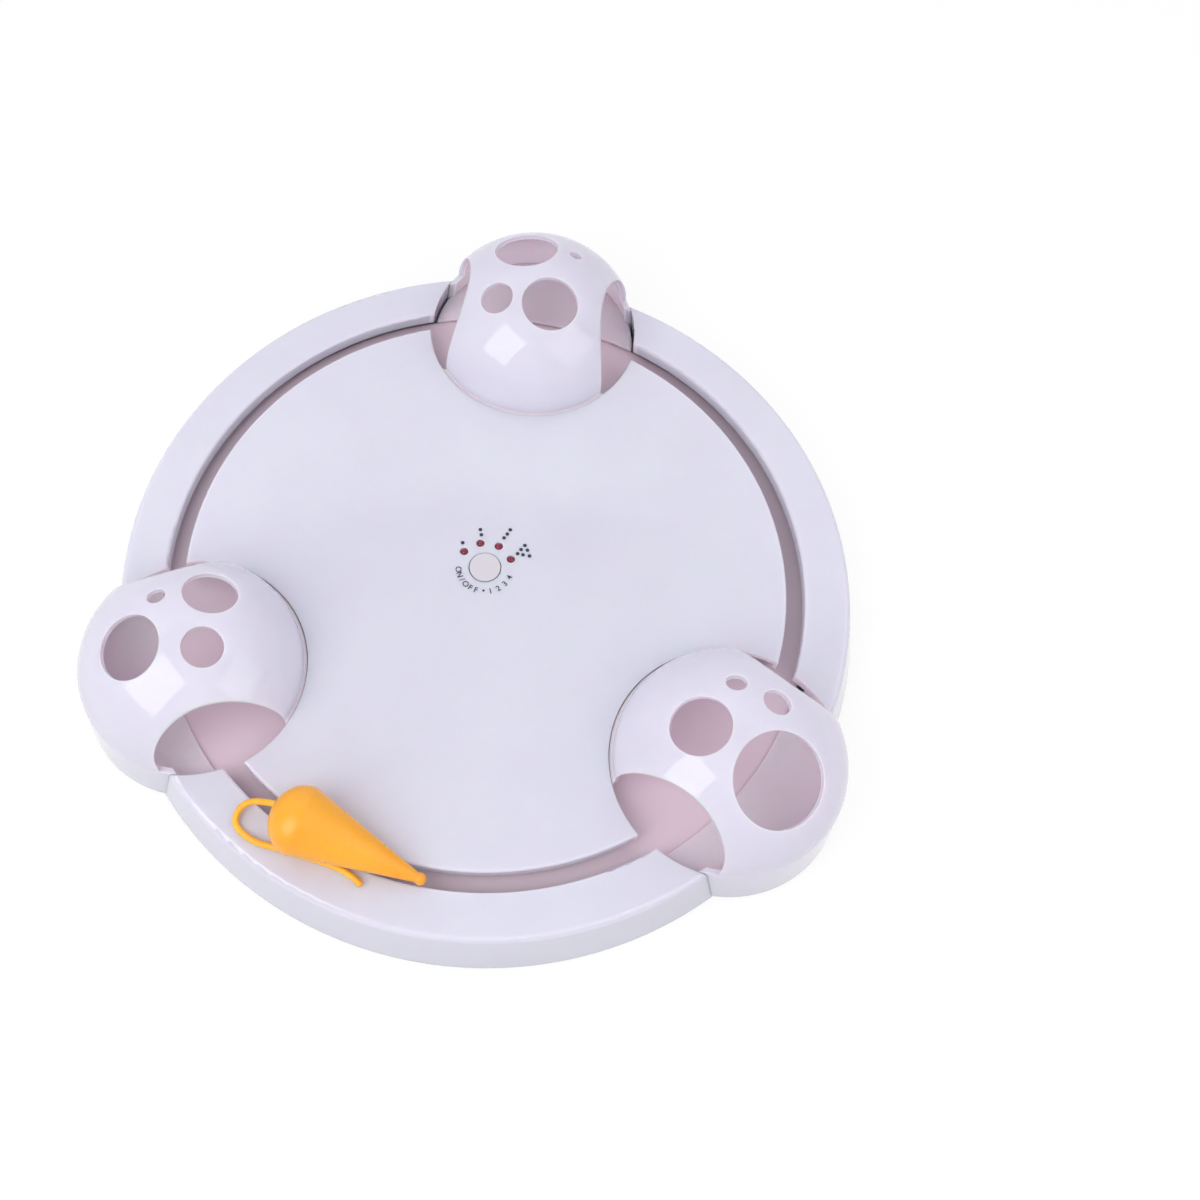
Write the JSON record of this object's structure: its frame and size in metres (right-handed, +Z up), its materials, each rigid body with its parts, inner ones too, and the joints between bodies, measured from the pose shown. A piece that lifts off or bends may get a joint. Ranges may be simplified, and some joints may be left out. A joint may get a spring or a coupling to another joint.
{
  "type": "interactive mouse cat toy",
  "caption": "Round battery cat toy: a motor-driven toy mouse circles in a slot round a deck and through perforated dome covers.",
  "frame": {"origin": "bottom centre of the overall box, at floor level under the feet", "axes": "+Z up; +Y from the open front rim towards the back dome, the long way; +X to the right of it"},
  "size_m": [0.2594, 0.273, 0.0505],
  "materials": {
    "shell_white": "satin",
    "base_white": "matt",
    "ring_mauve": "satin",
    "mouse_orange": "gloss",
    "tail_cord": "satin",
    "button_white": "satin",
    "lamp_red": "gloss",
    "steel": "brushed",
    "gear_plastic": "matt",
    "pinion_brass": "satin",
    "board_green": "matt",
    "black_plastic": "matt",
    "cell_jacket": "gloss",
    "contact_steel": "bright",
    "lead_red": "satin",
    "lead_black": "satin",
    "foot_rubber": "matt"
  },
  "bodies": {
    "base": {"base_plate": "base_white", "outer_rim": "shell_white", "center_deck": "shell_white", "dome_cover_back": "shell_white", "dome_cover_left": "shell_white", "dome_cover_right": "shell_white", "motor_can": "steel", "motor_clamp": "steel", "gearbox_cover": "gear_plastic", "output_axle": "steel", "second_axle": "steel", "first_axle": "steel", "control_board": "board_green", "tact_switch": "black_plastic", "led_1": "lamp_red", "led_2": "lamp_red", "led_3": "lamp_red", "led_4": "lamp_red", "control_chip": "black_plastic", "capacitor": "black_plastic", "battery_cell_1": "cell_jacket", "battery_cell_2": "cell_jacket", "battery_cell_3": "cell_jacket", "left_contacts": "contact_steel", "right_contacts": "contact_steel", "battery_lead_red": "lead_red", "battery_lead_black": "lead_black", "motor_lead_red": "lead_red", "motor_lead_black": "lead_black", "deck_screws": "steel", "rim_screws": "steel", "dome_screws": "steel", "lug_screws": "steel", "board_screws": "steel", "clamp_screws": "steel", "cover_screws": "steel", "rubber_feet": "foot_rubber"},
    "turntable": {"turntable_ring": "ring_mauve", "drive_post": "steel", "post_screw": "steel", "mouse_body": "mouse_orange", "mouse_base": "mouse_orange", "mouse_tail": "tail_cord"},
    "output_gear": {"output_gear": "gear_plastic"},
    "second_gear": {"second_gear": "gear_plastic"},
    "first_gear": {"first_gear": "gear_plastic"},
    "motor_rotor": {"motor_shaft": "steel", "motor_pinion": "pinion_brass"},
    "power_button": {"button_cap": "button_white", "switch_plunger": "black_plastic"},
    "battery_door": {"battery_door": "shell_white", "door_screws": "steel"}
  },
  "joints": [
    {"name": "ring_spin", "type": "hinge", "parent": "base", "child": "turntable", "pos_m": [0, -0.00685, 0], "axis": [0, 0, 1], "continuous": true},
    {"name": "output_spin", "type": "hinge", "parent": "base", "child": "output_gear", "pos_m": [0.03664, 0.03682, 0], "axis": [0, 0, 1], "continuous": true},
    {"name": "second_spin", "type": "hinge", "parent": "base", "child": "second_gear", "pos_m": [0.02001, 0.02663, 0], "axis": [0, 0, 1], "continuous": true},
    {"name": "first_spin", "type": "hinge", "parent": "base", "child": "first_gear", "pos_m": [0.00408, 0.03583, 0], "axis": [0, 0, 1], "continuous": true},
    {"name": "motor_spin", "type": "hinge", "parent": "base", "child": "motor_rotor", "pos_m": [-0.01365, 0.0327, 0], "axis": [0, 0, 1], "continuous": true},
    {"name": "button_press", "type": "slide", "parent": "base", "child": "power_button", "axis": [0, 0, -1], "range_m": [0, 0.0004], "stiffness_N_per_m": 600, "springref_m": -0.0005},
    {"name": "door_release", "type": "slide", "parent": "base", "child": "battery_door", "axis": [0, 0, -1], "range_m": [0, 0.03]}
  ],
  "couplings": [
    {"joint": "output_spin", "follows": "ring_spin", "ratio": 5.75},
    {"joint": "second_spin", "follows": "ring_spin", "ratio": -9.2},
    {"joint": "first_spin", "follows": "ring_spin", "ratio": 33.12},
    {"joint": "motor_spin", "follows": "ring_spin", "ratio": -165.6}
  ]
}
